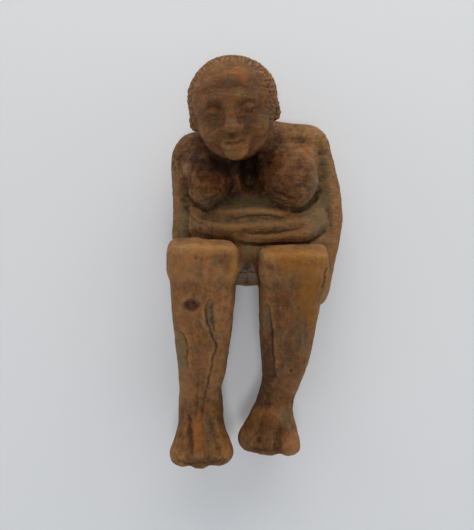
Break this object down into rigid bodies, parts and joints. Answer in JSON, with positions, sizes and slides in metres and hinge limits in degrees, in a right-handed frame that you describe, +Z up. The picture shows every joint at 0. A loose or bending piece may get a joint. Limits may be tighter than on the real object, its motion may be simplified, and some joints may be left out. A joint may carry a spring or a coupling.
{
  "type": "terracotta seated figure",
  "caption": "Hand-modelled terracotta figure of a seated heavy woman with bowed head, shown lying on her back, with knees up and shins hanging.",
  "frame": {"origin": "on the table she lies on, under the middle of the figure's bounding box", "axes": "+Y from the feet to the head, which is the longest way; +Z up from the table, out of the front of the body; +X to the viewer's right"},
  "size_m": [0.1552, 0.3454, 0.1316],
  "materials": {
    "terracotta": "unglazed, hand-smoothed clay, with ochre stains and grey-green dirt in the recesses"
  },
  "bodies": {
    "root": {"seated_woman": "terracotta"}
  },
  "joints": []
}
